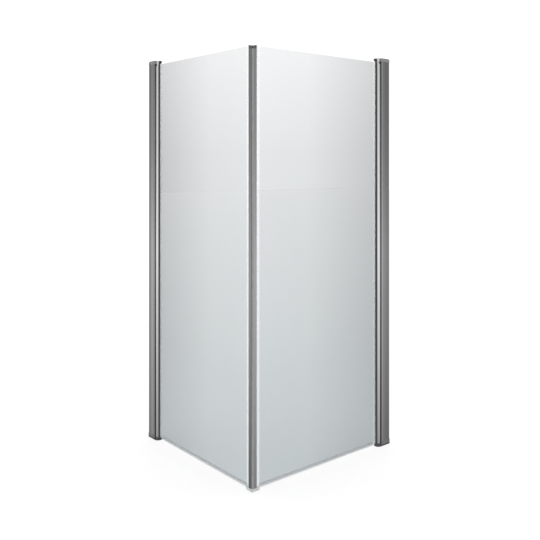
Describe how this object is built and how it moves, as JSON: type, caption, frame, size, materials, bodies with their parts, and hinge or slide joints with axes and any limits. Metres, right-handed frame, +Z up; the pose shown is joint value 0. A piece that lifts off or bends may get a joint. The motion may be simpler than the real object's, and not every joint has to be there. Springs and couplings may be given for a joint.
{
  "type": "shower screen",
  "caption": "Corner-entry shower screen: frameless clear glass swing doors on telescoping wall profiles, meeting at a mitred magnetic corner closure, with gaskets and drip seals.",
  "frame": {"origin": "middle of the bounding box in plan, at floor level", "axes": "+Z up; the right door lies along X and faces -Y, the left door lies along Y and faces -X; the walls are at +X and +Y and the doors meet at the corner towards -X -Y"},
  "size_m": [0.9046, 0.9046, 2],
  "materials": {
    "profile_aluminium": "satin anodised",
    "column_aluminium": "satin anodised",
    "grey_cap_plastic": "moulded, matt",
    "dark_plastic": "moulded, matt",
    "black_bush_plastic": "moulded, smooth",
    "black_rubber": "extruded, matt",
    "clear_vinyl": "clear, extruded",
    "pale_vinyl": "extruded",
    "clear_glass": "polished, toughened",
    "steel": "plain stainless",
    "magnet_rubber": "ferrite filled"
  },
  "bodies": {
    "wall_profiles": {"right_wall_channel": "profile_aluminium", "right_hinge_housing": "profile_aluminium", "right_clamp_screws": "steel", "right_screw_covers": "grey_cap_plastic", "right_top_cap": "grey_cap_plastic", "right_top_hinge_head": "column_aluminium", "right_bottom_cap": "grey_cap_plastic", "right_base_foot": "dark_plastic", "right_top_cap_screws": "steel", "right_bottom_cap_screws": "steel", "right_top_pivot_pin": "steel", "right_bottom_pivot_pin": "steel", "left_wall_channel": "profile_aluminium", "left_hinge_housing": "profile_aluminium", "left_clamp_screws": "steel", "left_screw_covers": "grey_cap_plastic", "left_top_cap": "grey_cap_plastic", "left_top_hinge_head": "column_aluminium", "left_bottom_cap": "grey_cap_plastic", "left_base_foot": "dark_plastic", "left_top_cap_screws": "steel", "left_bottom_cap_screws": "steel", "left_top_pivot_pin": "steel", "left_bottom_pivot_pin": "steel"},
    "right_door": {"right_hinge_column": "column_aluminium", "right_lock_screw": "black_bush_plastic", "right_top_bush": "black_bush_plastic", "right_bottom_bush": "black_bush_plastic", "right_glass_gasket": "black_rubber", "right_gasket_plug": "black_rubber", "right_hinge_seal": "clear_vinyl", "right_glass": "clear_glass", "right_drip_seal": "clear_vinyl", "right_edge_profile": "profile_aluminium", "right_edge_gasket": "clear_vinyl", "right_edge_top_cap": "dark_plastic", "right_edge_bottom_cap": "clear_vinyl", "right_magnet_strip": "pale_vinyl", "right_magnet_bar": "magnet_rubber"},
    "left_door": {"left_hinge_column": "column_aluminium", "left_lock_screw": "black_bush_plastic", "left_top_bush": "black_bush_plastic", "left_bottom_bush": "black_bush_plastic", "left_glass_gasket": "black_rubber", "left_gasket_plug": "black_rubber", "left_hinge_seal": "clear_vinyl", "left_glass": "clear_glass", "left_drip_seal": "clear_vinyl", "left_edge_profile": "profile_aluminium", "left_edge_gasket": "clear_vinyl", "left_edge_top_cap": "dark_plastic", "left_edge_bottom_cap": "clear_vinyl", "left_magnet_strip": "pale_vinyl", "left_magnet_bar": "magnet_rubber"}
  },
  "joints": [
    {"name": "right_hinge", "type": "hinge", "parent": "wall_profiles", "child": "right_door", "pos_m": [0.38625, -0.43075, 1], "axis": [0, 0, 1], "range_deg": [0, 90]},
    {"name": "left_hinge", "type": "hinge", "parent": "wall_profiles", "child": "left_door", "pos_m": [-0.43075, 0.38625, 1], "axis": [0, 0, -1], "range_deg": [0, 90]}
  ]
}
